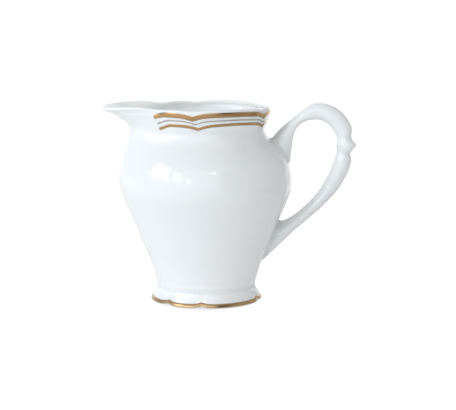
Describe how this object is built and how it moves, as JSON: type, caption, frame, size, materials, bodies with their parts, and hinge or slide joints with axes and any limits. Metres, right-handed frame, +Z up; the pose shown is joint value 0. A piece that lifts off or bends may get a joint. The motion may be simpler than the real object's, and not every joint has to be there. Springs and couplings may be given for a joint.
{
  "type": "cream jug",
  "caption": "Porcelain cream jug: rounded body tapering to a waisted foot, pulled spout, notched rim with gold and platinum lines, scroll handle with a knuckle.",
  "frame": {"origin": "centre of the ground ring, on the plane that the jug stands on and on the body's axis", "axes": "+Z up along the body's axis, +X towards the handle, so the spout points along -X"},
  "size_m": [0.1319, 0.0888, 0.1026],
  "materials": {
    "porcelain_body": "clear gloss glaze over white porcelain",
    "porcelain_foot": "clear gloss glaze, with a dry unglazed ground ring",
    "porcelain_handle": "clear gloss glaze over white porcelain",
    "slip": "fired slip under clear glaze",
    "gold": "burnished fired gold",
    "platinum": "fired platinum"
  },
  "bodies": {
    "root": {"body": "porcelain_body", "foot": "porcelain_foot", "handle": "porcelain_handle", "foot_slip_joint": "slip", "upper_handle_slip_joint": "slip", "lower_handle_slip_joint": "slip", "rim_gold_band": "gold", "rim_platinum_line": "platinum", "rim_lower_gold_line": "gold", "foot_gold_band": "gold"}
  },
  "joints": []
}
